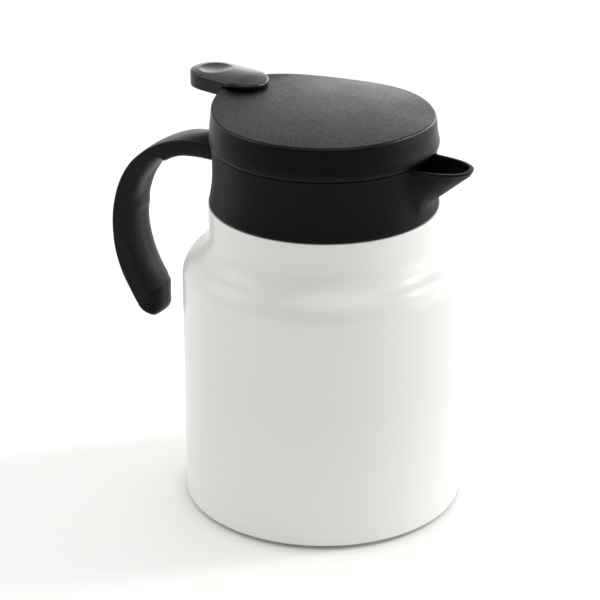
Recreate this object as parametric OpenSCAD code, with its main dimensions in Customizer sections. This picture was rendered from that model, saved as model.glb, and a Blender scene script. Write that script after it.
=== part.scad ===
// Thermal carafe: a double-wall steel vessel, a black spout collar with an open
// hook handle, and a quarter-turn lid whose thumb lever lifts a sprung valve.
// Frame: origin on the floor at the vessel's axis, +Z up, +X towards the spout,
// the handle towards -X. Millimetres.

/* [Vessel] */
// Outside diameter of the straight body
body_d = 116; // [114:1:118]
// Height at which the shoulder starts
shoulder_z = 98; // [94:1:99]
// Radius of the convex shoulder
shoulder_r = 11.2; // [10:0.2:12]
// Radius of the concave fillet between shoulder and neck
fillet_r = 10.4; // [9.6:0.2:11]
// Radius of the bottom corner
foot_r = 1.2; // [1:0.1:4]
// Thickness of each steel wall
wall = 0.8; // [0.6:0.1:1]
// Distance from the outside of the body to the outside of the inner flask
jacket = 3.75; // [3.7:0.05:3.8]

/* [Collar and spout] */
// Height of the collar's lower edge
collar_z0 = 129.3; // [129.2:0.1:129.5]
// Height of the collar's top, where the lid starts
collar_z1 = 154.2; // [154:0.1:154.3]
// Radius of the collar at its waist
collar_waist = 45.25; // [45:0.05:45.6]
// How far the collar flares out at its lower edge
collar_flare = 1.9; // [1:0.1:2.2]
// How far the tip of the spout reaches from the axis
spout_reach = 65.9; // [63:0.1:68]
// Width of the spout where it leaves the collar
spout_w = 21; // [18:0.5:23]

/* [Handle] */
// Width of the handle
handle_w = 18; // [16:0.5:20]
// Width of the grip cover on the inside of the handle
grip_w = 15.6; // [13:0.2:15.8]
// Thickness of the grip cover
grip_t = 2.4; // [1.8:0.1:2.8]

/* [Lid] */
// Widest radius of the lid
lid_r = 46.4; // [46:0.05:46.6]
// Height of the front edge of the lid's top
lid_z = 167.8; // [167.6:0.1:168.4]
// How far the lid's top rises towards the thumb lever
lid_rise = 4.5; // [4:0.1:4.6]
// Thickness of the lid's top
lid_t = 2.2; // [1.8:0.1:2.3]
// Lead of the three-start quarter-turn thread
lead = 18; // [16:1:20]

/* [Thumb lever] */
// Angle of the thumb lever from the handle, seen from above
lever_turn = -11; // [-14:0.5:0]
// Height of the top of the thumb tab
tab_z = 173.6; // [173.2:0.1:174]
// Diameter of the lever's pivot pin
pin_d = 3; // [2.6:0.1:3.2]

/* [Valve] */
// Radius of the valve's port
port_r = 14; // [12:0.5:15]
// Diameter of the valve's stem
stem_d = 5; // [4.6:0.1:5.2]
// Wire diameter of the valve's spring
wire_d = 0.8; // [0.6:0.1:1]

/* [Hidden] */
$fn = 96;

black = [0.10, 0.10, 0.105];
body_r = body_d / 2;
neck_r = 46.4;                 // visible neck, flush with the collar
mouth_r = 43.5;                // neck inside the collar
mouth_z = 136.4;               // top of the outer neck
foot_z = 0.5;                  // the pad holds the body just off the floor
turn = acos(1 - (body_r - neck_r) / (shoulder_r + fillet_r));
neck_z = shoulder_z + (shoulder_r + fillet_r) * sin(turn);
seam_z = collar_z1 + 0.3;      // underside of the lid
pivot = [-37, 163];            // lever pivot, x and z
boss_pos = 33;                 // radius of the lid's screw circle
screw_x = [-50, -56.5];        // the two handle screws

function arc(c, r, a0, a1, n) = [for (i = [0:n]) let (a = a0 + (a1 - a0) * i / n) [c[0] + r * cos(a), c[1] + r * sin(a)]];

// Outline of the jar at a distance d inside the outer surface, from shoulder to neck
function jar(d) = concat(
    arc([body_r - shoulder_r, shoulder_z], shoulder_r - d, 0, turn, 12),
    arc([neck_r + fillet_r, neck_z], fillet_r + d, 180 + turn, 180, 12));
function flip(L) = [for (i = [len(L) - 1:-1:0]) L[i]];

// Smooth curve through points
function cr(a, b, c, d, t) = 0.5 * (2 * b + (c - a) * t + (2 * a - 5 * b + 4 * c - d) * t * t + (3 * b - a - 3 * c + d) * t * t * t);
function smooth(P, n) = concat([for (i = [0:len(P) - 2]) for (k = [0:n - 1])
    cr(P[max(i - 1, 0)], P[i], P[i + 1], P[min(i + 2, len(P) - 1)], k / n)], [P[len(P) - 1]]);
// The curve moved sideways by d
function aside(P, d) = [for (i = [0:len(P) - 1])
    let (v = P[min(i + 1, len(P) - 1)] - P[max(i - 1, 0)], l = norm(v)) P[i] + d / l * [v[1], -v[0]]];

// A flat outline in x and z, given a width in y
module slab(P, w) { rotate([90, 0, 0]) linear_extrude(w, center = true) polygon(P); }
module ring(r0, r1, z0, z1) { difference() { translate([0, 0, z0]) cylinder(r = r1, h = z1 - z0); translate([0, 0, z0 - 1]) cylinder(r = r0, h = z1 - z0 + 2); } }
module disc(r, z0, z1) { translate([0, 0, z0]) cylinder(r = r, h = z1 - z0); }

// One start of a thread: a ridge that climbs by the lead
module ridge(r0, r1, z0, h, a0, a1) {
    n = 16;
    function at(i) = a0 + (a1 - a0) * i / n;
    function zz(i) = z0 + lead * (at(i) - a0) / 360;
    P = [for (i = [0:n]) for (q = [[r0, 0], [r1, h * 0.18], [r1, h * 0.82], [r0, h]]) [q[0] * cos(at(i)), q[0] * sin(at(i)), zz(i) + q[1]]];
    F = concat([[0, 2, 1], [0, 3, 2]],
        [for (i = [0:n - 1]) for (k = [0:3]) let (a = 4 * i + k, b = 4 * i + (k + 1) % 4) each [[a, b + 4, a + 4], [a, b, b + 4]]],
        [[4 * n, 4 * n + 1, 4 * n + 2], [4 * n, 4 * n + 2, 4 * n + 3]]);
    polyhedron(P, F);
}

// ---------------------------------------------------------------- vessel
module outer_shell() {
    color([0.86, 0.855, 0.85]) rotate_extrude() polygon(concat(
        [[49.5, foot_z]], arc([body_r - foot_r, foot_z + foot_r], foot_r, -90, 0, 8),
        jar(0), [[neck_r, 128.6], [neck_r - 0.4, 129], [mouth_r, 129], [mouth_r, 131.8], [mouth_r + 0.5, 132.2], [mouth_r + 0.5, 133], [mouth_r, 133.4], [mouth_r, mouth_z],
        [mouth_r - 0.75, mouth_z], [mouth_r - 0.75, 128.2], [neck_r - wall, 128.2]], flip(jar(wall)),
        arc([body_r - foot_r, foot_z + foot_r], foot_r - wall, 0, -90, 8), [[49.5, foot_z + wall]]));
}

module inner_flask() {
    color("silver") rotate_extrude() polygon(concat(
        [[0, 5.5]], arc([body_r - jacket - 10, 15.5], 10, -90, 0, 10), jar(jacket),
        [[neck_r - jacket, mouth_z], [mouth_r, mouth_z], [mouth_r, mouth_z + wall], [neck_r - jacket - wall, mouth_z + wall]],
        flip(jar(jacket + wall)), arc([body_r - jacket - 10, 15.5], 10 - wall, 0, -90, 10), [[0, 5.5 + wall]]));
}

module base_plate() {
    color("silver") difference() {
        disc(49.3, foot_z + 0.2, 3.8);
        disc(48.5, -1, 3);
        disc(2.05, -1, 6);
    }
}

module vacuum_seal_cap() {
    color("gray") union() { disc(7, 2.4, 3); disc(3, 3.8, 4.6); disc(2, 3, 3.8); }
}

module base_pad() { color([0.12, 0.12, 0.12]) disc(47.5, 0, 2.2); }

// Radius of the collar's outside at a height
function collar_r(z) = collar_waist + collar_flare * pow(max(0, (145 - z) / (145 - collar_z0)), 2.3) + 0.3 * pow(max(0, (z - 145) / (collar_z1 - 145)), 2);

module spout_plan(inset, x0) {
    w = spout_w / 2 - inset; t = 3.6 - inset; xt = spout_reach - inset;
    polygon(concat([[x0, -w], [47, -w]], [[56, -w * 0.76]], arc([xt - t, 0], t, -60, 60, 10), [[56, w * 0.76], [47, w], [x0, w]]));
}

module spout_collar() {
    color(black) difference() {
        union() {
            rotate_extrude() polygon(concat(
                [[43.9, collar_z0], [collar_r(collar_z0) - 0.8, collar_z0]],
                arc([collar_r(collar_z0 + 0.8) - 0.8, collar_z0 + 0.8], 0.8, -80, 0, 5),
                [for (z = [131:1:153]) [collar_r(z), z]], [[collar_r(collar_z1) - 0.2, collar_z1],
                [41.8, collar_z1], [41.8, 141], [39, 141], [39, 138.5], [43.9, 138.5], [43.9, 134.2], [44.4, 133.8], [44.4, 131.4], [43.9, 131]]));
            // beak of the spout
            difference() {
                hull() {
                    translate([0, 0, collar_z1 - 1.2]) linear_extrude(1.2) spout_plan(0, 43);
                    translate([44.5, 0, 138.4]) sphere(r = 2.6, $fn = 32);
                }
                disc(42, 130, 160);
                disc(44.2, 130, 138.5);
            }
            // lug that carries the handle
            translate([-60, -5.5, 143.3]) cube([17, 11, 3.6]);
            // three ridges that hold the lid
            for (a = [35, 155, 275]) ridge(40.6, 42.3, 147.2, 1.8, a, a + 50);
        }
        // channel of the spout, open to the bore and to the top
        hull() {
            translate([0, 0, collar_z1 - 0.4]) linear_extrude(2) spout_plan(1.7, 40);
            translate([42, 0, 144.6]) sphere(r = 2.4, $fn = 32);
        }
        // two blind holes for the handle screws
        for (x = screw_x) translate([x, 0, 142]) cylinder(r = 1.25, h = 4);
    }
}

module collar_gasket() { color("gainsboro") ring(40, 43.4, mouth_z + wall + 0.02, 138.48); }

// ---------------------------------------------------------------- handle
h_out = smooth([[-46, 150.6], [-51, 150], [-56, 149.2], [-61, 148.3], [-66, 147.2], [-75, 143.6], [-82.5, 138.8], [-89, 132.4], [-94.3, 123.6], [-97.4, 113.5], [-98.3, 103.5], [-97.4, 92.5], [-94.3, 82.5], [-89.6, 74], [-86.4, 68.4]], 4);
h_in1 = smooth([[-46, 140.9], [-54, 141.1], [-62, 140.6], [-69, 138.6], [-75.5, 134.8]], 4);
h_in2 = smooth([[-75.5, 134.8], [-81, 130], [-85.6, 125], [-88.3, 118], [-89.5, 109.5], [-89.5, 101], [-87.8, 92], [-84.2, 83.8], [-78.5, 76.2]], 4);
h_end = smooth([[-78.6, 75], [-77.7, 71], [-77.7, 68.2], [-78.8, 65.2], [-81.1, 63.9], [-84.2, 65], [-86.4, 68.4]], 4);
h_bed = aside(h_in2, grip_t);

module handle_shell() {
    color(black) difference() {
        intersection() {
            slab(concat(h_out, flip(h_end), flip(h_in2), flip(h_in1)), handle_w);
            // the root narrows a little towards the collar
            translate([0, 0, 55]) linear_extrude(100) polygon([[-120, -handle_w / 2], [-72, -handle_w / 2], [-46, -7.8], [-45, -7.8], [-45, 7.8], [-46, 7.8], [-72, handle_w / 2], [-120, handle_w / 2]]);
        }
        // bed for the grip cover
        slab(concat(aside(h_in2, grip_t + 0.05), flip(aside(h_in2, -4))), grip_w + 0.2);
        // the root follows the collar's round wall
        translate([0, 0, 130]) cylinder(r = 46, h = 25);
        // socket for the collar's lug
        translate([-60.2, -5.6, 143.2]) cube([18, 11.2, 3.8]);
        for (x = screw_x) {
            translate([x, 0, 138]) cylinder(r = 1.6, h = 6);
            translate([x, 0, 138]) cylinder(r = 2.8, h = 4.2);
        }
    }
}

module handle_grip_cover() {
    color([0.12, 0.12, 0.125]) slab(concat(h_bed, flip(h_in2)), grip_w);
}

module handle_screws() {
    color("silver") for (x = screw_x) translate([x, 0, 0]) difference() {
        union() { disc(1.2, 141, 145.8); disc(2.6, 141.1, 142.15); }
        translate([-1.6, -0.3, 140.5]) cube([3.2, 0.6, 1]);
        translate([-0.3, -1.6, 140.5]) cube([0.6, 3.2, 1]);
    }
}

// ---------------------------------------------------------------- lid
// Height of the lid's top along x
function top_z(x) = lid_z + lid_rise * pow(max(0, (1 - x / 45) / 2), 7);
module under_top(drop, cap = 200) { slab(concat([[60, 150], [60, lid_z - drop]], [for (x = [45:-2.5:-45]) [x, min(cap, top_z(x) - drop)]], [[-60, min(cap, top_z(-45) - drop)], [-60, 150]]), 120); }
function lid_wall(z) = lid_r - 0.75 * pow(max(0, (158.2 - z) / 3.7), 2) - 1.5 * pow(min(1, max(0, (z - 158.2) / 9.8)), 1.35);

module lid_cover() {
    color(black) rotate(lever_turn) difference() {
        union() {
            difference() {
                intersection() {
                    rotate_extrude() polygon(concat([[0, seam_z]], [for (z = [seam_z:0.5:173]) [lid_wall(z), z]], [[0, 172.5]]));
                    under_top(0);
                }
                intersection() { disc(43.2, 150, 180); under_top(lid_t, 168); }
            }
            // screw bosses
            intersection() {
                for (a = [45:90:315]) rotate(a) translate([boss_pos, 0, 156.3]) cylinder(r = 3.4, h = 20);
                under_top(0.5);
            }
            // ears that hold the pivot pin
            intersection() {
                for (s = [-1, 1]) translate([pivot[0] - 3.6, s * 6.6 - 1.6, 160]) cube([7.2, 3.2, 20]);
                under_top(0.5);
            }
        }
        for (a = [45:90:315]) rotate(a) translate([boss_pos, 0, 150]) cylinder(r = 1.25, h = 13);
        translate([pivot[0], 0, pivot[1]]) rotate([90, 0, 0]) cylinder(d = pin_d + 0.04, h = 40, center = true);
        // slot for the lever's post, and the seat cut into the rise under the thumb tab
        translate([-42.2, -4.4, 162]) cube([8.6, 8.8, 20]);
        translate([-60, -11.4, 170.2]) cube([22.5, 22.8, 10]);
    }
}

module lid_base() {
    color(black) difference() {
        union() {
            disc(37.4, 137.8, 142);
            disc(40, 141.6, 155);
            disc(43, seam_z, 156.2);
            for (a = [35, 155, 275]) ridge(39.7, 41.2, 144.8, 1.8, a, a + 50);
        }
        disc(35.4, 130, 143);
        disc(37.8, 143, 154.4);
        disc(31, 150, 160);
        ring(36.4, 39, 138.6, 141);
        // window that feeds the spout
        intersection() {
            ring(36, 42, 143.4, 149.4);
            translate([0, 0, 140]) linear_extrude(12) polygon([[0, 0], [60, -30], [60, 30]]);
        }
        for (a = [45:90:315]) rotate(a + lever_turn) translate([boss_pos, 0, 150]) cylinder(r = 1.6, h = 10);
    }
}

module lid_bridge() {
    color(black) difference() {
        union() { disc(35, 152.4, 154.38); disc(5.6, 152.4, 156); }
        disc(stem_d / 2 + 0.05, 150, 160);
        disc(4.2, 154.4, 160);
        for (a = [45:90:315]) rotate(a + lever_turn) translate([boss_pos, 0, 150]) cylinder(r = 1.6, h = 10);
    }
}

module valve_seat() {
    color(black) union() {
        ring(port_r, 37.4, 135.8, 137.78);
        ring(33.4, 35.3, 137.7, 140.6);
    }
}

module lid_screws() {
    color("silver") for (a = [45:90:315]) rotate(a + lever_turn) translate([boss_pos, 0, 0]) difference() {
        union() { disc(1.2, 151, 162.4); disc(2, 150.8, 152.38); }
        translate([-1.3, -0.3, 150]) cube([2.6, 0.6, 1.6]);
        translate([-0.3, -1.3, 150]) cube([0.6, 2.6, 1.6]);
    }
}

module lever_pin() { color("silver") rotate(lever_turn) translate([pivot[0], 0, pivot[1]]) rotate([90, 0, 0]) cylinder(d = pin_d, h = 16.2, center = true); }

module stem_bush() { color("gainsboro") ring(stem_d / 2 + 0.08, 4.15, 154.45, 156); }

module lid_seal() {
    color("gainsboro") rotate_extrude() polygon([[36.55, 138.75], [38.2, 138.75], [38.7, 139.3], [38.3, 139.8], [38.7, 140.35], [38.2, 140.85], [36.55, 140.85]]);
}

// ---------------------------------------------------------------- lever
// Half of the thumb tab's outline, from the tail to the nose
tab_half = smooth([[-69.2, 0], [-68.6, 3.2], [-66.9, 6.2], [-64.2, 8.6], [-60.5, 10], [-56, 10.45], [-50, 10.5], [-45, 10.5],
    [-42, 10.4], [-39.6, 9.9], [-37.2, 8.8], [-35.3, 7.1], [-33.9, 5], [-32.9, 2.6], [-32.5, 0]], 3);

module thumb_tab() {
    color([0.11, 0.11, 0.115]) rotate(lever_turn) difference() {
        intersection() {
            translate([0, 0, 165]) linear_extrude(12) polygon(concat(tab_half, flip([for (i = [1:len(tab_half) - 2]) [tab_half[i][0], -tab_half[i][1]]])));
            slab(concat([[-72, 167], [-30, 167]],
                smooth([[-30, 172.2], [-33.5, 172.8], [-38, 173.4], [-46, tab_z], [-60, tab_z], [-66, tab_z - 0.2], [-72, tab_z - 0.7]], 4)), 40);
        }
        // the part over the lid is thin, with a nose that reaches down to the lid's top
        intersection() {
            disc(46.9, 160, 180);
            slab([[-60, 160], [-60, 171.6], [-41, 171.6], [-32.5, 170.3], [-28, 169.6], [-28, 160]], 40);
        }
        // dish for the thumb
        translate([-58.8, 0, tab_z + 16.9]) sphere(r = 18);
        // socket for the lever's post
        translate([-40, -3.4, 168]) cube([6, 6.8, 4.6]);
    }
}

module lever_arm() {
    color(black) rotate(lever_turn) difference() {
        union() {
            translate([pivot[0], 0, pivot[1]]) rotate([90, 0, 0]) cylinder(r = 4, h = 9.4, center = true);
            translate([-39.9, -3.3, pivot[1]]) cube([5.8, 6.6, 9.4]);
            slab([[-37, 166.6], [-33, 165.4], [-8, 159.2], [-7, 158.6], [-7, 156.6], [-12, 156.6], [-30, 158.2], [-37, 159.2]], 7);
            translate([-9, -5.4, 156.6]) cube([2, 10.8, 2]);
            for (s = [-1, 1]) {
                translate([-9, s * 4.35 - 1.05, 156.6]) cube([9.4, 2.1, 1.9]);
                translate([0, s * 4.35, 157.6]) rotate([90, 0, 0]) cylinder(r = 1.6, h = 2.1, center = true);
            }
        }
        translate([pivot[0], 0, pivot[1]]) rotate([90, 0, 0]) cylinder(d = pin_d + 0.1, h = 40, center = true);
    }
}

// ---------------------------------------------------------------- valve
module valve_stem() { color("silver") union() { disc(stem_d / 2, 138, 159.5); disc(6, 137.5, 139.18); disc(1.5, 159, 160.9); } }
module valve_disc() { color(black) difference() { disc(17.5, 139.2, 141); disc(stem_d / 2 + 0.02, 130, 150); } }
module valve_washer() { color("gainsboro") ring(11, 17, 137.95, 139.18); }
module stem_cap() { color(black) ring(1.52, 6, 159.52, 161); }

// Round wire along a coil with closed ends
module valve_spring() {
    turns = 5.5; n = 16; m = 8; R = 4.5; z0 = 141.02 + wire_d / 2; z1 = 152.38 - wire_d / 2; N = turns * n;
    function h(u) = u < 0.12 ? z0 + (wire_d + 0.05) * u / 0.12 * 0.66 : u > 0.88 ? z1 - (wire_d + 0.05) * (1 - u) / 0.12 * 0.66 : z0 + (wire_d + 0.05) * 0.66 + (z1 - z0 - 2 * (wire_d + 0.05) * 0.66) * (u - 0.12) / 0.76;
    P = [for (i = [0:N]) for (k = [0:m - 1]) let (a = 360 * i / n, b = 360 * k / m, r = R + wire_d / 2 * cos(b)) [r * cos(a), r * sin(a), h(i / N) + wire_d / 2 * sin(b)]];
    F = concat([[for (k = [m - 1:-1:0]) k]],
        [for (i = [0:N - 1]) for (k = [0:m - 1]) let (a = m * i + k, b = m * i + (k + 1) % m) each [[a, b + m, a + m], [a, b, b + m]]],
        [[for (k = [0:m - 1]) m * N + k]]);
    color("silver") polyhedron(P, F);
}

outer_shell();
inner_flask();
base_plate();
vacuum_seal_cap();
base_pad();
spout_collar();
collar_gasket();
handle_shell();
handle_grip_cover();
handle_screws();
lid_cover();
lid_base();
lid_bridge();
valve_seat();
lid_screws();
lever_pin();
stem_bush();
lid_seal();
thumb_tab();
lever_arm();
valve_stem();
valve_disc();
valve_washer();
stem_cap();
valve_spring();
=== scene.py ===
"""Thermal carafe: the looks of the vessel, collar, handle, lid and thumb lever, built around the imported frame.

Lengths in the shape code are millimetres in the part's own frame: origin on the floor at the
vessel's axis, +Z up, +X towards the spout, handle towards -X. The closed lid stops with its
thumb lever 11 degrees off the handle.
"""
import math

import bmesh
import bpy
import numpy as np
from mathutils import Matrix, Vector


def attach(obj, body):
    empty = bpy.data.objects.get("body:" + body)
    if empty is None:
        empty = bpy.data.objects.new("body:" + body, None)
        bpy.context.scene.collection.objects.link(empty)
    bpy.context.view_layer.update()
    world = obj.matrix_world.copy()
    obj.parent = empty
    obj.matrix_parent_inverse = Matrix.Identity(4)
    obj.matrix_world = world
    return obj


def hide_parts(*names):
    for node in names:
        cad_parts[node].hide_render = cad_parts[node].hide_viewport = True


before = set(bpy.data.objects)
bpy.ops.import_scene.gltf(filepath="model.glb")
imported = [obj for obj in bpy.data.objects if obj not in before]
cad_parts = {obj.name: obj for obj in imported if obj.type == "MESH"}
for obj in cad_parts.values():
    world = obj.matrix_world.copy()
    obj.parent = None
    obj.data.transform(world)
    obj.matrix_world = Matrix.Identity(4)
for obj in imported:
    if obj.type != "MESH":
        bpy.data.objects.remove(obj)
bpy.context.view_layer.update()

MM = 0.001
scene = bpy.context.scene


# ------------------------------------------------------------------ mesh helpers
def add_mesh(name, verts, faces, sharp=38.0, weld=0.004):
    """Closed mesh from points in millimetres, smooth, with edges over `sharp` degrees kept crisp."""
    bm = bmesh.new()
    vs = [bm.verts.new((x * MM, y * MM, z * MM)) for x, y, z in verts]
    for f in faces:
        if len(set(f)) > 2:
            try:
                bm.faces.new([vs[i] for i in f])
            except ValueError:
                pass
    bmesh.ops.remove_doubles(bm, verts=bm.verts, dist=weld * MM)
    bmesh.ops.dissolve_degenerate(bm, edges=bm.edges, dist=1e-7)
    finish_mesh(bm, sharp)
    me = bpy.data.meshes.new(name)
    bm.to_mesh(me)
    bm.free()
    ob = bpy.data.objects.new(name, me)
    scene.collection.objects.link(ob)
    return ob


def finish_mesh(bm, sharp):
    bmesh.ops.recalc_face_normals(bm, faces=bm.faces)
    limit = math.radians(sharp)
    for f in bm.faces:
        f.smooth = True
    for e in bm.edges:
        e.smooth = len(e.link_faces) == 2 and e.calc_face_angle() < limit


def grid(nu, nv, wrap_u=False, wrap_v=False, base=0):
    """Quads of a grid of points, point (i, j) at base + i * nv + j."""
    F = []
    for i in range(nu if wrap_u else nu - 1):
        i1 = (i + 1) % nu
        for j in range(nv if wrap_v else nv - 1):
            j1 = (j + 1) % nv
            F.append((base + i * nv + j, base + i * nv + j1, base + i1 * nv + j1, base + i1 * nv + j))
    return F


def arc(c, r, a0, a1, n):
    """Points of an arc, angles in degrees."""
    return [(c[0] + r * math.cos(math.radians(a0 + (a1 - a0) * i / n)), c[1] + r * math.sin(math.radians(a0 + (a1 - a0) * i / n))) for i in range(n + 1)]


def lathe(name, profile, n=192, sharp=38.0):
    """A closed outline (r, z) turned about the axis."""
    verts = [(r * math.cos(2 * math.pi * i / n), r * math.sin(2 * math.pi * i / n), z) for i in range(n) for r, z in profile]
    return add_mesh(name, verts, grid(n, len(profile), True, True), sharp)


def cut(ob, tool, sharp=38.0):
    """Cuts the tool's solid out of the object's mesh and drops the tool."""
    m = ob.modifiers.new("cut", "BOOLEAN")
    m.operation = "DIFFERENCE"
    m.solver = "EXACT"
    m.object = tool
    bpy.context.view_layer.update()
    done = bpy.data.meshes.new_from_object(ob.evaluated_get(bpy.context.evaluated_depsgraph_get()))
    ob.modifiers.remove(m)
    old, ob.data = ob.data, done
    done.name = ob.name
    bpy.data.meshes.remove(old)
    bpy.data.objects.remove(tool)
    bm = bmesh.new()
    bm.from_mesh(ob.data)
    bmesh.ops.remove_doubles(bm, verts=bm.verts, dist=1e-6)
    finish_mesh(bm, sharp)
    bm.to_mesh(ob.data)
    bm.free()


def smooth_curve(P, n):
    """Smooth curve through points (Catmull-Rom), n steps between two points."""
    P = [np.array(p, float) for p in P]
    out = []
    for i in range(len(P) - 1):
        a, b, c, d = P[max(i - 1, 0)], P[i], P[i + 1], P[min(i + 2, len(P) - 1)]
        for k in range(n):
            t = k / n
            out.append(0.5 * (2 * b + (c - a) * t + (2 * a - 5 * b + 4 * c - d) * t * t + (3 * b - a - 3 * c + d) * t ** 3))
    out.append(P[-1])
    return np.array(out)


def even(P, n):
    """n points evenly spaced along a polyline."""
    s = np.concatenate([[0], np.cumsum(np.linalg.norm(np.diff(P, axis=0), axis=1))])
    t = np.linspace(0, s[-1], n)
    return np.stack([np.interp(t, s, P[:, k]) for k in range(P.shape[1])], 1)


def smax(a, b, k):
    """Maximum of two fields with a round blend of width k."""
    h = np.maximum(k - np.abs(a - b), 0) / k
    return np.maximum(a, b) + h * h * k / 4


def soft_max(a, b, k):
    """As smax, but without a jump in curvature at the ends of the blend."""
    k = 1.5 * k
    h = np.maximum(k - np.abs(a - b), 0) / k
    return np.maximum(a, b) + h ** 3 * k / 6


def smin(a, b, k):
    return -smax(-a, -b, k)


def step(a, b, x):
    t = np.clip((x - a) / (b - a), 0, 1)
    return t * t * (3 - 2 * t)


# ------------------------------------------------------------------ vessel
BODY_R, NECK_R, MOUTH_R, MOUTH_Z = 58.0, 47.0, 43.5, 136.4
SHOULDER_Z, SHOULDER_R, FILLET_R, FOOT_R, FOOT_Z, WALL = 98.6, 11.2, 11.6, 1.0, 1.7, 0.8
TURN = math.degrees(math.acos(1 - (BODY_R - NECK_R) / (SHOULDER_R + FILLET_R)))
NECK_Z = SHOULDER_Z + (SHOULDER_R + FILLET_R) * math.sin(math.radians(TURN))


def jar(d, n=30):
    return (arc((BODY_R - SHOULDER_R, SHOULDER_Z), SHOULDER_R - d, 0, TURN, n)
            + arc((NECK_R + FILLET_R, NECK_Z), FILLET_R + d, 180 + TURN, 180, n)[1:])


def make_outer_shell():
    side = [(BODY_R, z) for z in (3.5, 8, *range(14, 97, 10))]
    outside = ([(49.5, FOOT_Z)] + arc((BODY_R - FOOT_R, FOOT_Z + FOOT_R), FOOT_R, -90, 0, 14) + side + jar(0)
               + [(NECK_R, 124.0)] + arc((NECK_R - 0.4, 128.9), 0.4, 0, 90, 5)
               + [(MOUTH_R, 129.3), (MOUTH_R, 131.8), (MOUTH_R + 0.5, 132.2), (MOUTH_R + 0.5, 133.0), (MOUTH_R, 133.4), (MOUTH_R, MOUTH_Z)])
    inside = ([(MOUTH_R - 0.75, MOUTH_Z), (MOUTH_R - 0.75, 128.2), (NECK_R - WALL, 128.2)] + jar(WALL)[::-1]
              + arc((BODY_R - FOOT_R, FOOT_Z + FOOT_R), FOOT_R - WALL, 0, -90, 10) + [(49.5, FOOT_Z + WALL)])
    return lathe("outer_shell_paint", outside + inside, 224)


# ------------------------------------------------------------------ collar with spout
COLLAR_Z0, COLLAR_Z1 = 129.6, 154.2
RIM = [(65.0, 0), (64.85, 2.0), (64.3, 3.8), (63.2, 5.6), (61.3, 7.2), (59.1, 8.5), (56.5, 9.5), (53, 10.3), (50, 10.8), (47.5, 11.1), (44, 11.5), (40, 11.8), (34, 12.0)]


def collar_r(z):
    z = np.asarray(z, float)
    return 45.25 + 1.9 * np.maximum(0, (145 - z) / 15.7) ** 2.3 + 0.3 * np.maximum(0, (z - 145) / 9.2) ** 2


def rim_inset(d):
    """The spout's rim seen from above, moved inwards by d, as y over x."""
    P = smooth_curve(RIM, 10)
    P = np.concatenate([P[:0:-1] * [1, 1], P[:1], P[1:] * [1, -1]]) if d else P
    if not d:
        x, y = P[::-1, 0], P[::-1, 1]
        return x, y
    v = np.gradient(P, axis=0)
    n = np.stack([v[:, 1], -v[:, 0]], 1) / np.linalg.norm(v, axis=1)[:, None]
    if n[0, 1] > 0:
        n = -n
    Q = P + n * d
    half = Q[: len(Q) // 2 + 1]
    half = half[half[:, 1] > -1e-6]
    order = np.argsort(half[:, 0])
    return half[order, 0], half[order, 1]


def beak(theta, z, inset, floor, tip_z=COLLAR_Z1, a=1.55, b=0.72):
    """Distance from the axis to the spout's wall at height z in direction theta (radians).
    floor is the line along the middle of the underside as points (x, z)."""
    X, W = rim_inset(inset)
    fx, fz = np.array([p[0] for p in floor]), np.array([p[1] for p in floor])

    def half(x):
        w = np.interp(x, X, W, right=0.0)
        depth = np.maximum(tip_z - np.interp(x, fx, fz), 1e-3)
        q = np.clip((tip_z - z) / depth, 0, 1)
        w = np.where(x > X[-1], 0, w) * np.maximum(1 - q ** a, 0) ** b
        return np.where(q >= 1, -1.0, w)

    s, c = np.abs(np.sin(theta)), np.cos(theta)
    lo, hi = np.full_like(theta, 20.0), np.full_like(theta, 75.0)
    for _ in range(46):
        mid = (lo + hi) / 2
        inside = half(mid * c) > mid * s
        lo, hi = np.where(inside, mid, lo), np.where(inside, hi, mid)
    return lo


RIDGE = [(20, 114), (46.5, 136.4), (49.0, 138.8), (52.7, 141.8), (64.7, 151.9), (65.2, 153.2), (65.4, 154.3)]
CHANNEL = [(20, 132.0), (41.8, 141.6), (60.0, 149.6), (62.7, 151.8), (63.7, 154.3)]


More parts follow.
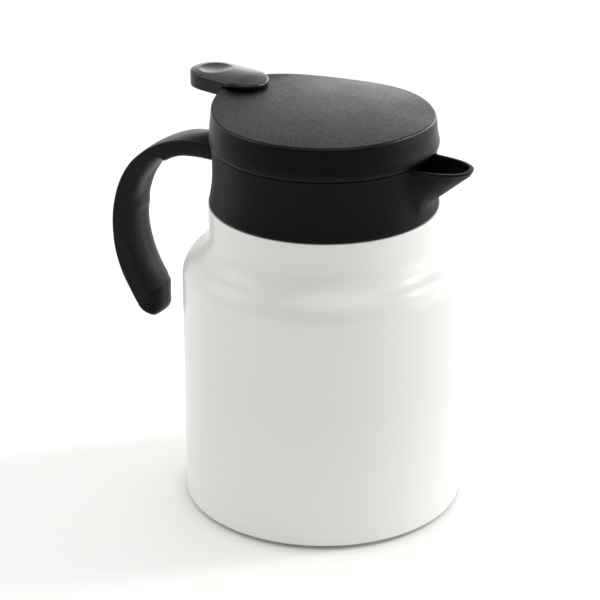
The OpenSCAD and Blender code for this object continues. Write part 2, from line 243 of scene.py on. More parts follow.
def make_collar():
    fine = np.radians(np.arange(-19, 19.01, 0.2))
    coarse = np.radians(np.arange(21, 339.01, 2.0))
    theta = np.concatenate([fine, coarse])
    wrapped = np.where(theta > math.pi, theta - 2 * math.pi, theta)
    near = np.abs(wrapped) < math.radians(20)
    c, s = np.cos(theta), np.sin(theta)
    rings = []

    def outer(z, inset=0.0, blend=3.2):
        base = np.full_like(theta, float(collar_r(z)) - max(inset, 0.0))
        b = np.where(near, beak(np.where(near, wrapped, 0.3), z, inset, RIDGE), 0.0)
        return soft_max(base, b, blend)

    def inner(z, inset, k=0.8):
        base = np.full_like(theta, 41.8 - (inset - 1.7))
        b = np.where(near, beak(np.where(near, wrapped, 0.3), z, inset, CHANNEL), 0.0)
        return smax(base, b, k)

    def add(r, z):
        rings.append(np.stack([r * c, r * s, np.full_like(theta, z)], 1))

    full = np.ones_like(theta)
    add(full * 43.9, COLLAR_Z0)
    r0 = float(collar_r(COLLAR_Z0 + 0.8))
    for a in range(0, 91, 15):
        add(full * (r0 - 0.8 + 0.8 * math.sin(math.radians(a))), COLLAR_Z0 + 0.8 - 0.8 * math.cos(math.radians(a)))
    for z in (131.2, 132, 133, 134, 135, 136, 137, 138, 139, 140, 141, 142, 143, 144, 145, 146, 147, 148, 149, 150, 151, 151.8, 152.4, 152.75):
        wide = 1 - float(step(146.0, 152.7, z))
        add(outer(z, blend=2.4 + wide * (1.4 + 6.0 * step(0.0, 0.16, np.abs(wrapped)))), z)
    # the spout's lip stands a little proud of its wall
    lip = 0.40
    add(outer(152.80, -0.6 * lip, 2.2), 152.80)
    add(outer(152.95, -0.95 * lip, 2.1), 152.95)
    add(outer(153.2, -lip, 2.0), 153.2)
    ro = 0.85
    for a in (10, 25, 40, 55, 70, 82, 90):
        t = math.radians(a)
        add(outer(COLLAR_Z1 - ro + ro * math.sin(t), ro * (1 - math.cos(t)) - lip, 2.0), COLLAR_Z1 - ro + ro * math.sin(t))
    ri = 0.6
    for a in (90, 70, 50, 30, 10):
        t = math.radians(a)
        add(inner(COLLAR_Z1 - ri + ri * math.sin(t), 1.65 - ri * (1 - math.cos(t))), COLLAR_Z1 - ri + ri * math.sin(t))
    for z in (153.2, 152.6, 152, 151, 150, 149, 148, 147, 146, 145, 144, 143.2, 142.6, 142, 141.0):
        add(inner(z, 1.65), z)
    for r, z in ((39, 141), (39, 138.5), (43.9, 138.5), (43.9, 134.2), (44.4, 133.8), (44.4, 131.4), (43.9, 131)):
        add(full * r, z)
    m = len(rings)
    verts = np.concatenate(rings)
    n = len(theta)
    return add_mesh("spout_collar_moulding", verts, grid(m, n, True, True), 50.0)


# ------------------------------------------------------------------ handle
H_OUT = [(-46, 148.6), (-56, 148.6), (-66, 147.5), (-75.3, 144.0), (-82.8, 139.2), (-89.4, 132.8), (-94.7, 123.8), (-97.8, 113.5), (-98.8, 103.5), (-97.9, 92.5), (-94.8, 82.4), (-90.2, 73.8), (-86.8, 68.0)]
H_IN1 = [(-46, 140.3), (-54, 140.7), (-62, 140.2), (-67.2, 138.7), (-71.5, 136.4)]
H_IN2 = [(-71.5, 136.4), (-75.4, 133.4), (-79.3, 129.6), (-83.0, 124.5), (-85.7, 117.7), (-87.2, 110), (-87.3, 102.2), (-85.6, 94.0), (-82.0, 84.9), (-77.3, 77.0)]
H_END = [(-77.3, 77.0), (-77.35, 72.6), (-77.3, 68.6), (-77.8, 65.6), (-79.6, 63.6), (-83.1, 64.6), (-86.8, 68.0)]
HALF_W, GRIP_T, GRIP_R = 9.0, 5.4, 7.5


def rounded_section(w, t, ro, ri, crown):
    """Half outline of a bar's section from the middle of the outer face to the middle of the
    inner face: u across, v from the outer face inwards."""
    crown = min(crown, t * 0.42)
    ro = min(ro, w * 0.98, (t - crown) * 0.4)
    ru, rv = ri if isinstance(ri, tuple) else (ri, ri)
    ru, rv = min(ru, w * 0.98), min(rv, (t - crown - ro) * 0.94)
    P = []
    for k in range(9):
        u = (w - ro) * k / 8
        P.append((u, crown * (u / max(w - ro, 1e-6)) ** 2))
    for k in range(1, 8):
        a = math.radians(90 * k / 7)
        P.append((w - ro + ro * math.sin(a), crown + ro * (1 - math.cos(a))))
    for k in range(1, 5):
        P.append((w, crown + ro + (t - rv - ro - crown) * k / 5))
    for k in range(0, 8):
        a = math.radians(90 * k / 7)
        P.append((w - ru + ru * math.cos(a), t - rv + rv * math.sin(a)))
    for k in range(1, 7):
        P.append(((w - ru) * (1 - k / 6), t))
    return P


def bar(name, stations, sharp=40.0):
    """Loft of sections. A station is (outer point, inner point, half width, outer radius, inner radius, crown, x of the collar wall or None)."""
    rows = []
    for O, I, w, ro, ri, crown, wall in stations:
        d = np.array(I) - np.array(O)
        t = float(np.linalg.norm(d))
        d = d / max(t, 1e-9)
        H = rounded_section(w, t, ro, ri, crown)
        loop = H + [(-u, v) for u, v in H[-2:0:-1]]
        row = []
        for u, v in loop:
            x, z = O[0] + d[0] * v, O[1] + d[1] * v
            if wall:
                x = -math.sqrt((float(collar_r(z)) + 0.03) ** 2 - u * u)
            row.append((x, u, z))
        rows.append(row)
    n = len(rows[0])
    verts = [p for row in rows for p in row]
    F = grid(len(rows), n, False, True)
    F.append(tuple(range(n)))
    F.append(tuple(range((len(rows) - 1) * n, len(rows) * n)))
    return add_mesh(name, verts, F, sharp)


def offset(P, d):
    v = np.gradient(P, axis=0)
    v = v / np.linalg.norm(v, axis=1)[:, None]
    return P + d * np.stack([v[:, 1], -v[:, 0]], 1)


GRIP_LINE = []      # points across the grip: on the handle's outer curve and on the cover's face


def make_handle():
    out = smooth_curve(H_OUT, 16)
    in1, in2, end = smooth_curve(H_IN1, 16), smooth_curve(H_IN2, 16), smooth_curve(H_END, 16)
    out = offset(out, -0.25)
    # the top of the arm sweeps up to the collar
    out[:, 1] += np.where(out[:, 1] > 130, 5.3 * np.clip((out[:, 0] + 70) / 26, 0, 1) ** 2, 0.0)
    # where the outer curve lies across from the start and the end of the grip cover, and the tip
    k_tip = int(np.argmin(end[:, 1]))
    tip = end[k_tip]
    i1, i2 = (int(np.argmin(np.linalg.norm(out - np.array(p), axis=1))) for p in (H_IN2[0], (-79.2, 76.8)))
    S = []

    def crown(x, z):
        """The top of the arm is rounded, the rest of the outer face nearly flat."""
        return 0.45 + (5.5 * float(np.clip((x + 69) / 23, 0, 1)) ** 2.2 if z > 130 else 0.0)

    def width(x):
        return 8.5 + (HALF_W - 8.5) * float(np.clip((-46 - x) / 26, 0, 1))

    A, B = even(out[: i1 + 1], 40), even(in1, 40)
    S.append((A[0], B[0], 8.5, 1.2, 2.6, crown(*A[0]), True))
    for o, i in zip(A, B):
        S.append((o, i, width(o[0]), 1.2, 2.6, crown(*o), None))
    # bed of the grip cover
    A, B = even(out[i1: i2 + 1], 90), even(in2, 90)
    GRIP_LINE.extend(zip(A, B))
    for o, i in zip(A, B):
        S.append((o, i + (o - i) / np.linalg.norm(o - i) * (GRIP_T + 0.02), HALF_W, 1.2, 0.04, crown(*o), None))
    # blunt end below the cover
    o_end = np.concatenate([out[i2:], end[:k_tip - len(end):-1] if k_tip < len(end) - 1 else end[-1:]])
    A, B = even(o_end, 40), even(end[: k_tip + 1], 40)
    for k, (o, i) in enumerate(zip(A, B)):
        left = max(float(np.dot((o + i) / 2 - tip, np.array((-0.45, 0.89)))), 0.0)
        r = 5.0
        w = HALF_W if left >= r else HALF_W - r + math.sqrt(max(r * r - (r - left) ** 2, 0.0))
        S.append((o, i, w, 1.2 + 1.2 * k / 39, (GRIP_R, GRIP_T + 1.4 * k / 39), 0.45, None))
    return bar("handle_shell_moulding", S)


def grip_height(y, z):
    """Shape of the grip cover's face over the plain curve: a scoop for the first finger, a soft
    stop below it and a lip at the lower end."""
    across = np.maximum(0.0, 1 - (y / 8.8) ** 2) ** 1.25
    across = across + (1 - across) * 0.85 * step(126.0, 132.0, z)
    foot = z + 0.035 * y * y
    deep = (1.35 + 0.05 * step(121, 130, z)) * across * step(113.0, 117.0, foot) * step(135.6, 134.2, z)
    stop = 0.45 * across * np.exp(-((foot - 112.4) / 1.6) ** 2)
    end = z - 0.03 * y * y
    lip = 0.55 * step(88.0, 80.0, end) * step(77.8, 78.7, end) - 0.12 * np.exp(-((end - 77.75) / 0.4) ** 2)
    return -deep + stop + lip


def make_grip():
    outer, face = (even(np.array([q[k] for q in GRIP_LINE]), 280) for k in (0, 1))
    n_ = outer - face
    n_ = n_ / np.linalg.norm(n_, axis=1)[:, None]
    rows = []
    w, re = HALF_W, GRIP_R
    us = list(np.linspace(0, w - re, 11))
    for k in range(len(face)):
        f, n = face[k], -n_[k]
        s_top = np.linalg.norm(face[k] - face[0])
        s_end = np.linalg.norm(face[k] - face[-1])
        # the two ends round over
        drop = sum(0.15 * (1 - math.sqrt(max(0, 1 - (1 - min(q / 0.3, 1)) ** 2))) for q in (s_top, s_end))
        half = []
        for u in us:
            half.append((u, float(grip_height(np.array(u), np.array(f[1]))) - drop))
        for j in range(1, 15):
            a = math.radians(90 * j / 14)
            u = w - re + re * math.sin(a)
            h = float(grip_height(np.array(u), np.array(f[1]))) - drop
            half.append((u, h * math.cos(a) - GRIP_T * (1 - math.cos(a))))
        half.append((0.0, -GRIP_T))
        left = [(u, h) for u, h in half]
        loop = left + [(-u, float(h)) for u, h in left[-2:0:-1]]
        row = []
        for u, h in loop:
            row.append((f[0] + n[0] * h, u, f[1] + n[1] * h))
        rows.append(row)
    m = len(rows[0])
    F = grid(len(rows), m, False, True)
    F.append(tuple(range(m)))
    F.append(tuple(range((len(rows) - 1) * m, len(rows) * m)))
    return add_mesh("handle_grip_cover_moulding", [p for r in rows for p in r], F, 42.0)


# ------------------------------------------------------------------ lid
SEAM_Z = 154.5


LID_TURN = math.radians(-11.0)


def lid_top(x, y):
    r2 = (x * x + y * y) / 45.0 ** 2
    rise = 4.5 * np.maximum(0, (1 - x / 45) / 2) ** 7
    dip = 1.05 * r2 * np.exp(-((np.arctan2(y, x) - 1.95) / 0.56) ** 2) + 0.85 * r2 ** 2 * np.exp(-((np.arctan2(y, x) - 0.6) / 0.36) ** 2)
    return 167.8 + rise - dip + 2.4 * np.maximum(0, 1 - r2) * step(-48, -29, x)


def lid_wall(z):
    z = np.asarray(z, float)
    return 46.4 - 0.75 * np.maximum(0, (156.4 - z) / 1.9) ** 2 - 1.9 * np.clip((z - 156.4) / 11.6, 0, 1) ** 1.3


def box_tool(lo, hi):
    P = [(x, y, z) for x in (lo[0], hi[0]) for y in (lo[1], hi[1]) for z in (lo[2], hi[2])]
    return add_mesh("cut_tool", P, [(0, 1, 3, 2), (4, 6, 7, 5), (0, 4, 5, 1), (2, 3, 7, 6), (0, 2, 6, 4), (1, 5, 7, 3)])


def prism_tool(outline, a, b, sideways=False):
    """An outline in x and y drawn out from z = a to b, or sideways in x and z drawn out from y = a to b."""
    n = len(outline)
    P = [(p, t, q) if sideways else (p, q, t) for t in (a, b) for p, q in outline]
    return add_mesh("cut_tool", P, [tuple(range(n)), tuple(range(n, 2 * n))] + [(k, (k + 1) % n, n + (k + 1) % n, n + k) for k in range(n)])


def make_lid():
    """The lid is shaped with its lever along -X and then turned to where it stops."""
    n = 240
    th = 2 * math.pi * np.arange(n) / n
    c, s = np.cos(th), np.sin(th)
    ro = 1.0
    # top of the edge's rounding, found by stepping because the wall leans
    r_e = np.full(n, 44.9)
    for _ in range(6):
        z_e = lid_top(r_e * c, r_e * s) - ro
        r_e = lid_wall(z_e)
    z_e = lid_top(r_e * c, r_e * s) - ro
    rings = []
    for f in (0, 0.04, 0.1, 0.18, 0.28, 0.38, 0.48, 0.58, 0.67, 0.75, 0.81, 0.86, 0.90, 0.935, 0.97, 1.0):
        r = (r_e - ro) * f
        rings.append((r, lid_top(r * c, r * s)))
    z_in = rings[-1][1]
    for a in range(10, 91, 10):
        t = math.radians(a)
        rings.append((r_e - ro + ro * math.sin(t), z_e + (z_in - z_e) * math.cos(t)))
    for k in range(1, 9):
        z = z_e + (158.0 - z_e) * k / 8
        rings.append((lid_wall(z), z))
    for z in (157.4, 156.9, 156.4, 156.1, 155.8, 155.5, 155.2):
        rings.append((np.full(n, float(lid_wall(z))), np.full(n, z)))
    rb = float(lid_wall(155.2))
    for a in range(18, 91, 18):
        t = math.radians(a)
        rings.append((np.full(n, rb - 0.7 + 0.7 * math.cos(t)), np.full(n, 155.2 - 0.7 * math.sin(t))))
    rings.append((np.full(n, 43.2), np.full(n, SEAM_Z)))
    inner = np.minimum(lid_top(43.0 * c, 43.0 * s) - 2.2, 168.0)
    rings.append((np.full(n, 43.2), inner - 0.6))
    rings.append((np.full(n, 42.6), inner))
    for f in (0.8, 0.6, 0.4, 0.2, 0.0):
        r = np.full(n, 42.6 * f)
        rings.append((r, np.minimum(lid_top(r * c, r * s) - 2.2, 168.0)))
    verts = np.concatenate([np.stack([r * c, r * s, z], 1) for r, z in rings])
    # the wall leans back towards the lever
    verts[:, 0] -= (1.3 - 0.6 * step(0, 45, verts[:, 0])) * np.clip((verts[:, 2] - 157.0) / 11.0, 0, 1)
    # and stands straighter beside the spout
    rad, z = np.hypot(verts[:, 0], verts[:, 1]), verts[:, 2]
    out = 0.45 * (rad / 45) ** 4 * step(160, 165, z) * np.exp(-((np.arctan2(verts[:, 1], verts[:, 0]) - 0.64) / 0.36) ** 2)
    out = out - 0.18 * step(0, 40, verts[:, 0]) * step(40, 44, rad) * step(156.0, 161.0, z) * (1 - step(161.0, 166.0, z))
    verts[:, :2] *= (1 + out / np.maximum(rad, 1.0))[:, None]
    ob = add_mesh("lid_cover_moulding", verts, grid(len(rings), n, False, True), 40.0)
    # slot for the lever's post, and the seat under the thumb tab
    cut(ob, box_tool((-42.2, -4.4, 162), (-33.6, 4.4, 182)), 40.0)
    P = tab_outline()
    d = P[:, :2] - np.stack([P[:, 2], 0 * P[:, 2]], 1)
    Q = P[:, :2] + 0.7 * d / np.linalg.norm(d, axis=1)[:, None]
    cut(ob, prism_tool([(min(x, -37.2), y) for x, y in Q if x < -36.2], 170.2, 182), 40.0)
    ob.data.transform(Matrix.Rotation(LID_TURN, 4, "Z"))
    return ob


# ------------------------------------------------------------------ thumb tab
TAB_HALF = [(-69.2, 0), (-68.6, 3.2), (-66.9, 6.2), (-64.2, 8.6), (-60.5, 10.0), (-56, 10.45), (-50, 10.5), (-45, 10.5), (-42, 10.4),
            (-39.6, 9.9), (-37.2, 8.8), (-35.3, 7.1), (-33.9, 5.0), (-32.9, 2.6), (-32.5, 0)]
CREST = smooth_curve([(-69.2, 173.75), (-66, 174.35), (-60, 174.65), (-50, 174.8), (-44, 174.65), (-39, 174.15), (-35, 173.4), (-32.5, 172.8)], 8)
EDGE = smooth_curve([(-69.2, 173.5), (-64, 173.5), (-56, 173.35), (-48, 173.4), (-42, 173.35), (-37, 173.05), (-32.5, 172.7)], 8)


def tab_outline():
    """Points of the tab's outline with the matching points of its middle line."""
    P = smooth_curve(TAB_HALF, 12)
    P = even(np.concatenate([P, P[-2:0:-1] * [1, -1]] + [P[:1]]), 241)[:-1]
    return np.column_stack([P, np.clip(P[:, 0], -58.8, -42.6)])


def make_tab():
    P = tab_outline()
    x, y, sx = P[:, 0], P[:, 1], P[:, 2]
    n = len(P)
    # inward direction, towards the middle line
    d = np.stack([sx - x, -y], 1)
    reach = np.linalg.norm(d, axis=1)
    d = d / reach[:, None]

    def top(px, py, f):
        """Height of the top; f is 0 at the edge and 1 on the middle line."""
        crest, edge = np.interp(px, CREST[:, 0], CREST[:, 1]), np.interp(px, EDGE[:, 0], EDGE[:, 1])
        z = edge + (crest - edge) * (1 - (1 - f) ** 2.0)
        r = np.hypot((px + 58.2) / 1.06, py) / 6.9
        bowl = 1.45 * (1 - np.clip(r, 0, 1.3) ** 2)
        return z - smax(bowl, 0 * bowl, 0.22)

    rt, rb = 1.2, 0.6
    z_bot = 167.0
    rings = []
    for f in (1.0, 0.92, 0.84, 0.76, 0.69, 0.63, 0.58, 0.54, 0.50, 0.46, 0.42, 0.38, 0.34, 0.29, 0.24, 0.19, 0.15):
        px, py = x + d[:, 0] * reach * f, y + d[:, 1] * reach * f
        rings.append((px, py, top(px, py, np.full(n, f))))
    px, py = x + d[:, 0] * rt, y + d[:, 1] * rt
    z_in = top(px, py, rt / reach)
    rings.append((px, py, z_in))
    z_edge = z_in - rt
    for a in (12, 25, 38, 51, 64, 77, 90):
        t = math.radians(a)
        o = rt * (1 - math.sin(t))
        rings.append((x + d[:, 0] * o, y + d[:, 1] * o, z_edge + (z_in - z_edge) * math.cos(t)))
    z_low = np.full(n, z_bot + rb)
    for k in (0.25, 0.5, 0.75, 1.0):
        rings.append((x, y, z_edge + (z_low - z_edge) * k))
    for a in (20, 40, 60, 80, 90):
        t = math.radians(a)
        o = rb * (1 - math.cos(t))
        rings.append((x + d[:, 0] * o, y + d[:, 1] * o, z_low - rb * math.sin(t)))
    for f in (0.3, 0.65, 1.0):
        rings.append((x + d[:, 0] * reach * f, y + d[:, 1] * reach * f, np.full(n, z_bot)))
    verts = np.concatenate([np.stack(r, 1) for r in rings])
    ob = add_mesh("thumb_tab_moulding", verts, grid(len(rings), n, False, True), 44.0)
    # the part over the lid is thin, with a nose that reaches down to the lid's top and a socket for the lever's post
    a0 = math.degrees(math.acos(40.9 / 46.9))
    cut(ob, prism_tool(arc((0, 0), 46.9, 180 - a0, 180 + a0, 60), 160, 171.6), 44.0)
    cut(ob, prism_tool([(-41, 160), (-28, 160), (-28, 170.5), (-32.5, 170.95), (-41, 171.6)], -15, 15, True), 44.0)
    cut(ob, box_tool((-40.0, -3.4, 165), (-34.0, 3.4, 172.6)), 44.0)
    ob.data.transform(Matrix.Rotation(LID_TURN, 4, "Z"))
    return ob


# ------------------------------------------------------------------ materials
class Nodes:
    """Small helper to lay out a material's nodes."""

    def __init__(self, name):
        self.mat = bpy.data.materials.new(name)
        self.mat.use_nodes = True
        self.nt = self.mat.node_tree
        self.bsdf = self.nt.nodes["Principled BSDF"]
        self.pos = self.add("ShaderNodeTexCoord").outputs["Object"]

    def add(self, kind, **kw):
        nd = self.nt.nodes.new(kind)
        for k, v in kw.items():
            setattr(nd, k, v)
        return nd

    def link(self, a, b):
        self.nt.links.new(a, b)

    def noise(self, scale, detail=2.0, rough=0.5, stretch=None):
        nd = self.add("ShaderNodeTexNoise")
        nd.inputs["Scale"].default_value = scale
        nd.inputs["Detail"].default_value = detail
        nd.inputs["Roughness"].default_value = rough
        src = self.pos
        if stretch:
            mp = self.add("ShaderNodeMapping")
            mp.inputs["Scale"].default_value = stretch
            self.link(src, mp.inputs["Vector"])
            src = mp.outputs["Vector"]
        self.link(src, nd.inputs["Vector"])
        return nd.outputs["Fac"]

    def ramp(self, fac, stops):
        nd = self.add("ShaderNodeValToRGB")
        el = nd.color_ramp.elements
        while len(el) < len(stops):
            el.new(0.5)
        for e, (p, col) in zip(el, stops):
            e.position = p
            e.color = (*col, 1) if len(col) == 3 else col
        self.link(fac, nd.inputs["Fac"])
        return nd.outputs["Color"]

    def spread(self, fac, lo, hi, a=0.3, b=0.7):
        nd = self.add("ShaderNodeMapRange")
        nd.inputs["From Min"].default_value = a
        nd.inputs["From Max"].default_value = b
        nd.inputs["To Min"].default_value = lo
        nd.inputs["To Max"].default_value = hi
        self.link(fac, nd.inputs["Value"])
        return nd.outputs["Result"]

    def bump(self, height, strength, distance, normal=None):
        nd = self.add("ShaderNodeBump")
        nd.inputs["Strength"].default_value = strength
        nd.inputs["Distance"].default_value = distance
        self.link(height, nd.inputs["Height"])
        if normal is not None:
            self.link(normal, nd.inputs["Normal"])
        return nd.outputs["Normal"]

    def mix(self, fac, a, b):
        nd = self.add("ShaderNodeMix", data_type="RGBA")
        self.link(fac, nd.inputs["Factor"])
        for k, v in (("A", a), ("B", b)):
            sock = [i for i in nd.inputs if i.name == k and i.type == "RGBA"][0]
            if isinstance(v, tuple):
                sock.default_value = (*v, 1)
            else:
                self.link(v, sock)
        return [o for o in nd.outputs if o.type == "RGBA"][0]

    def edges(self, lo=0.52, hi=0.62):
        """1 on convex edges, from the surface's own curvature."""
        g = self.add("ShaderNodeNewGeometry")
        return self.spread(g.outputs["Pointiness"], 0.0, 1.0, lo, hi)


def plastic(name, dark, light, rough, grain, depth, spec=0.2, coarse=900.0, wear=0.35, painted_lit_middle=None, gloss=0.0, speckle=0.12, top=None, wall=0.4, dull=0.4):
    """Black moulded plastic with a fine spark-eroded grain; edges are polished a little by use."""
    m = Nodes(name)
    patches = m.noise(38.0, 3.0, 0.55)
    fine = m.noise(coarse, 2.0, 0.6)
    grit = m.noise(coarse * 2.6, 1.0, 0.5)
    col = m.ramp(patches, [(0.25, dark), (0.8, light)])
    if painted_lit_middle:
        # painted light: the middle of the face is coloured lighter, standing in for the light that falls on it
        xyz, side = m.add("ShaderNodeSeparateXYZ"), m.add("ShaderNodeMath", operation="ABSOLUTE")
        m.link(m.pos, xyz.inputs["Vector"])
        m.link(xyz.outputs["Y"], side.inputs[0])
        col = m.mix(m.spread(side.outputs["Value"], 1.0, 0.0, 0.005, 0.0094), col, painted_lit_middle)
    edge = m.edges()
    worn = m.mix(m.spread(edge, 0.0, wear, 0.0, 1.0), col, tuple(min(1.0, c * 2.2) for c in light))
    m.link(worn, m.bsdf.inputs["Base Color"])
    sheen = m.spread(patches, rough - 0.05, rough + 0.06)
    n1 = m.bump(fine, grain, depth)
    n2 = m.bump(grit, grain * 0.6, depth * 0.4, n1)
    m.link(n2, m.bsdf.inputs["Normal"])
    # the grain also breaks up the sheen
    if top is None:
        broken = m.spread(m.noise(coarse * 0.62, 3.0, 0.62), spec * (1 - speckle), spec * (1 + speckle))
    else:
        # more on the faces that look up than on the walls
        up, amp = m.add("ShaderNodeSeparateXYZ"), m.add("ShaderNodeMath", operation="MULTIPLY")
        m.link(m.add("ShaderNodeNewGeometry").outputs["Normal"], up.inputs["Vector"])
        m.link(m.spread(m.noise(coarse * 0.75, 3.0, 0.62), -1.0, 1.0), amp.inputs[0])
        m.link(m.spread(up.outputs["Z"], speckle, top, 0.6, 0.9), amp.inputs[1])
        # the grain stops at the rim, whose rounding is smooth, with a fine dull line inside it
        rim = m.ramp(up.outputs["Z"], [(v, (t, t, t)) for v, t in ((0.22, wall), (0.42, 1.0), (0.70, 1.0), (0.80, dull), (0.90, dull), (0.94, 0.4))])
        less, more = m.add("ShaderNodeMath", operation="SUBTRACT"), m.add("ShaderNodeMath", operation="MULTIPLY")
        m.link(sheen, less.inputs[0])
        m.link(m.spread(rim, 0.0, 0.34 * rough, 0.4, 1.0), less.inputs[1])
        sheen = less.outputs["Value"]
        m.link(m.spread(amp.outputs["Value"], 0.0, 5 * spec, -1.0, 1.0), more.inputs[0])
        m.link(rim, more.inputs[1])
        broken = more.outputs["Value"]
    m.link(sheen, m.bsdf.inputs["Roughness"])
    m.link(broken, m.bsdf.inputs["Specular IOR Level"])
    m.bsdf.inputs["IOR"].default_value = 1.5
    m.bsdf.inputs["Coat Weight"].default_value = gloss
    m.bsdf.inputs["Coat Roughness"].default_value = 0.11
    return m.mat


def paint():
    """Off-white semi-gloss powder coat: faint orange peel, slight drift of tone and sheen."""
    m = Nodes("carafe_body_paint")
    drift = m.noise(9.0, 2.0, 0.5)
    peel = m.noise(420.0, 2.0, 0.55)
    col = m.ramp(drift, [(0.0, (0.735, 0.725, 0.706)), (1.0, (0.780, 0.770, 0.752))])
    # painted light: the paint is coloured lighter towards the foot, standing in for light bounced up from the floor
    xyz = m.add("ShaderNodeSeparateXYZ")
    m.link(m.pos, xyz.inputs["Vector"])
    col = m.mix(m.spread(xyz.outputs["Z"], 1.0, 0.0, 0.0, 0.06), col, (0.835, 0.823, 0.806))
    m.link(col, m.bsdf.inputs["Base Color"])
    m.link(m.spread(m.noise(26.0, 1.0, 0.5), 0.285, 0.325, 0.0, 1.0), m.bsdf.inputs["Roughness"])
    m.link(m.bump(peel, 0.05, 0.00004), m.bsdf.inputs["Normal"])
    m.bsdf.inputs["Specular IOR Level"].default_value = 0.5
    m.bsdf.inputs["Coat Weight"].default_value = 0.2
    m.bsdf.inputs["Coat Roughness"].default_value = 0.22
    return m.mat


def steel(name, tone, rough, brush):
    """Stainless steel with brushing lines round the axis (brush) or a fine turned finish."""
    m = Nodes(name)
    lines = m.noise(60.0, 3.0, 0.65, stretch=brush)
    smear = m.noise(45.0, 2.0, 0.5)
    m.link(m.ramp(lines, [(0.3, tuple(t * 0.86 for t in tone)), (0.7, tone)]), m.bsdf.inputs["Base Color"])
    m.link(m.spread(smear, rough - 0.06, rough + 0.08), m.bsdf.inputs["Roughness"])
    m.link(m.bump(lines, 0.12, 0.00005), m.bsdf.inputs["Normal"])
    m.bsdf.inputs["Metallic"].default_value = 1.0
    return m.mat


def rubber(name, dark, light, rough, grain):
    m = Nodes(name)
    a = m.noise(120.0, 3.0, 0.6)
    b = m.noise(1300.0, 2.0, 0.55)
    m.link(m.ramp(a, [(0.3, dark), (0.7, light)]), m.bsdf.inputs["Base Color"])
    m.link(m.spread(a, rough - 0.05, rough + 0.07), m.bsdf.inputs["Roughness"])
    m.link(m.bump(b, grain, 0.00008), m.bsdf.inputs["Normal"])
    m.bsdf.inputs["Specular IOR Level"].default_value = 0.35
    return m.mat


def set_material(ob, mat):
    ob.data.materials.clear()
    ob.data.materials.append(mat)


MAT = {
    "paint": paint(),
    "collar": plastic("carafe_collar_plastic", (0.0014, 0.0014, 0.0015), (0.0024, 0.0024, 0.0025), 0.45, 0.34, 0.00016, 0.10, 1000.0, 0.06),
    "lid": plastic("carafe_lid_plastic", (0.0016, 0.0016, 0.0017), (0.0028, 0.0028, 0.0029), 0.34, 0.40, 0.00020, 0.135, 1150.0, 0.15, None, 0.0, 0.2, 0.55, 0.30, 0.12),
    "tab": plastic("carafe_tab_plastic", (0.0018, 0.0018, 0.0019), (0.0028, 0.0028, 0.0029), 0.20, 0.12, 0.00006, 0.15, 1300.0, 0.2, None, 0.27, 0.12, 0.12, 0.22),
    # the grip's lighter middle colour is painted light
    "grip": plastic("carafe_grip_plastic", (0.0016, 0.0016, 0.0017), (0.0026, 0.0026, 0.0027), 0.42, 0.30, 0.00014, 0.13, 1000.0, 0.06, (0.022, 0.022, 0.022), 0.0, 0.3),
    "handle": plastic("carafe_handle_plastic", (0.0018, 0.0018, 0.0019), (0.0028, 0.0028, 0.0029), 0.36, 0.32, 0.00015, 0.125, 1000.0, 0.06),
    "inner": plastic("carafe_inner_plastic", (0.010, 0.010, 0.011), (0.016, 0.016, 0.017), 0.42, 0.12, 0.00006, 0.4, 1400.0, 0.2),
    "steel": steel("carafe_steel", (0.66, 0.65, 0.635), 0.27, (1.0, 1.0, 14.0)),
    "fastener": steel("carafe_fastener_steel", (0.60, 0.595, 0.585), 0.33, (8.0, 8.0, 1.0)),
    "silicone": rubber("carafe_silicone", (0.50, 0.50, 0.485), (0.58, 0.58, 0.565), 0.46, 0.08),
    "pad": rubber("carafe_pad_rubber", (0.010, 0.010, 0.0105), (0.018, 0.018, 0.0185), 0.72, 0.30),
}
CAD_LOOK = {
    "inner_flask": "steel", "base_plate": "steel", "vacuum_seal_cap": "fastener", "base_pad": "pad",
    "collar_gasket": "silicone", "handle_screws": "fastener", "lid_base": "inner", "lid_bridge": "inner",
    "valve_seat": "inner", "lid_screws": "fastener", "lever_pin": "fastener", "stem_bush": "silicone",
    "lid_seal": "silicone", "lever_arm": "inner", "valve_stem": "fastener", "valve_disc": "inner",
    "valve_washer": "silicone", "stem_cap": "inner", "valve_spring": "fastener",
}
for node_name, look in CAD_LOOK.items():
    set_material(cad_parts[node_name], MAT[look])


def place(ob, node, body, look):
    set_material(ob, MAT[look])
    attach(ob, body)
    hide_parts(node)
    return ob


place(make_outer_shell(), "outer_shell", "vessel", "paint")
place(make_collar(), "spout_collar", "vessel", "collar")
place(make_handle(), "handle_shell", "vessel", "handle")
place(make_grip(), "handle_grip_cover", "vessel", "grip")
place(make_lid(), "lid_cover", "lid", "lid")
place(make_tab(), "thumb_tab", "lever", "tab")


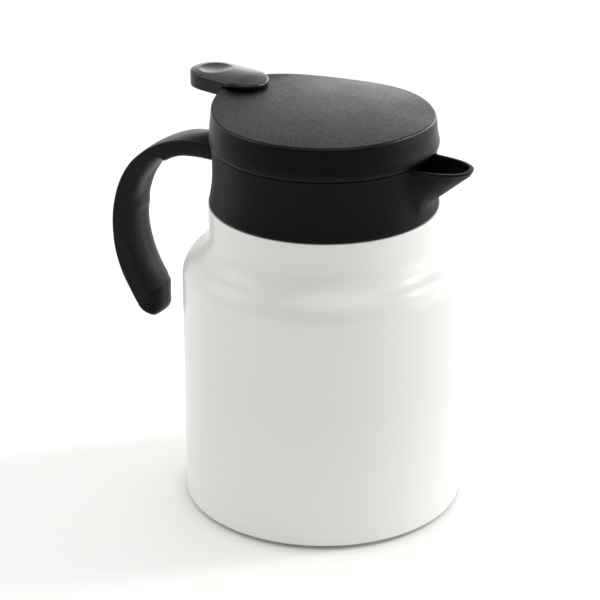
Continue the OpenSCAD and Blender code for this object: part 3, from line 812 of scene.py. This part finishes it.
# ------------------------------------------------------------------ floor, light and camera
def make_floor():
    """A pale studio floor, a wide disc with a fine matt tone."""
    n, R = 96, 4.0
    bm = bmesh.new()
    rows = []
    for r in (0.0, 0.3, 0.8, 1.6, R):
        rows.append([bm.verts.new((r * math.cos(2 * math.pi * k / n), r * math.sin(2 * math.pi * k / n), 0.0)) for k in range(n)] if r else [bm.verts.new((0, 0, 0))])
    for k in range(n):
        bm.faces.new((rows[0][0], rows[1][k], rows[1][(k + 1) % n]))
        for a, b in zip(rows[1:], rows[2:]):
            bm.faces.new((a[k], b[k], b[(k + 1) % n], a[(k + 1) % n]))
    me = bpy.data.meshes.new("studio_floor")
    bm.to_mesh(me)
    bm.free()
    ob = bpy.data.objects.new("studio_floor", me)
    scene.collection.objects.link(ob)
    m = Nodes("studio_floor")
    t = m.noise(6.0, 3.0, 0.5)
    m.link(m.ramp(t, [(0.3, (0.872, 0.876, 0.858)), (0.7, (0.888, 0.892, 0.874))]), m.bsdf.inputs["Base Color"])
    # painted light: the floor glows a little, like a light table, to lighten the shadow cast on it, and the glow stops
    # near the foot, which paints a darker contact shade around it
    m.bsdf.inputs["Emission Color"].default_value = (1.0, 1.0, 0.985, 1)
    reach = m.add("ShaderNodeVectorMath", operation="LENGTH")
    m.link(m.pos, reach.inputs[0])
    m.link(m.spread(reach.outputs["Value"], 0.0, 0.10, 0.0555, 0.064), m.bsdf.inputs["Emission Strength"])
    m.bsdf.inputs["Roughness"].default_value = 0.7
    m.bsdf.inputs["Specular IOR Level"].default_value = 0.2
    set_material(ob, m.mat)


make_floor()


def area(name, az, el, dist, size, power, target=(0, 0, 0.09), size_y=None, tint=(1, 1, 1)):
    """A soft box seen from the object at azimuth az (0 along +X) and elevation el, in degrees."""
    L = bpy.data.lights.new(name, "AREA")
    L.shape = "RECTANGLE" if size_y else "SQUARE"
    L.size = size
    if size_y:
        L.size_y = size_y
    L.energy = power
    L.color = tint
    ob = bpy.data.objects.new(name, L)
    a, e = math.radians(az), math.radians(el)
    t = Vector(target)
    ob.location = t + dist * Vector((math.cos(a) * math.cos(e), math.sin(a) * math.cos(e), math.sin(e)))
    ob.rotation_mode = "QUATERNION"
    ob.rotation_quaternion = (t - ob.location).to_track_quat("-Z", "Y")
    scene.collection.objects.link(ob)
    return ob


area("key_soft_box", 42, 37, 2.0, 0.36, 9.8)
area("top_soft_box", -40, 70, 1.6, 1.1, 3.6)
area("left_soft_box", 205, 35, 2.0, 1.2, 6.0)

world = bpy.data.worlds.new("studio")
scene.world = world
world.use_nodes = True
wt = world.node_tree
bg = wt.nodes["Background"]
geo = wt.nodes.new("ShaderNodeTexCoord")


def facing(v, lo, hi, out_lo, out_hi):
    """A soft ramp over how far a direction of the sky points along v."""
    d = wt.nodes.new("ShaderNodeVectorMath")
    d.operation = "DOT_PRODUCT"
    d.inputs[1].default_value = v
    wt.links.new(geo.outputs["Generated"], d.inputs[0])
    r = wt.nodes.new("ShaderNodeMapRange")
    r.interpolation_type = "SMOOTHSTEP"
    for k, x in (("From Min", lo), ("From Max", hi), ("To Min", out_lo), ("To Max", out_hi)):
        r.inputs[k].default_value = x
    wt.links.new(d.outputs["Value"], r.inputs["Value"])
    return r.outputs["Result"]


def join(op, a, b):
    n = wt.nodes.new("ShaderNodeMath")
    n.operation = op
    wt.links.new(a, n.inputs[0])
    wt.links.new(b, n.inputs[1])
    return n.outputs["Value"]


room = facing((-0.35, 0.937, 0.0), -0.90, 0.70, 0.44, 0.95)
sweep = join("MULTIPLY", facing((0.38, 0.925, 0.0), 0.32, 0.95, 0.0, 1.0), facing((0.0, 0.0, 1.0), 0.06, 0.66, 2.6, 0.0))
wt.links.new(join("ADD", room, sweep), bg.inputs["Strength"])
bg.inputs["Color"].default_value = (1.0, 1.0, 0.995, 1)

cam = bpy.data.objects.new("photo_camera", bpy.data.cameras.new("photo_camera"))
scene.collection.objects.link(cam)
cam.data.sensor_width = 36.0
cam.data.lens = 2315.0 * 36.0 / 600.0
psi, el = math.radians(29.0), math.radians(23.59)
right, away = Vector((math.cos(psi), math.sin(psi), 0)), Vector((-math.sin(psi), math.cos(psi), 0))
look = away * math.cos(el) - Vector((0, 0, math.sin(el)))
aim = right * -0.00974 + Vector((0, 0, 0.08564))
cam.location = aim - look * 0.9582
cam.rotation_mode = "QUATERNION"
cam.rotation_quaternion = look.to_track_quat("-Z", "Y")
cam.data.clip_start, cam.data.clip_end = 0.05, 20.0
scene.camera = cam

scene.view_settings.view_transform = "Standard"
scene.view_settings.look = "None"
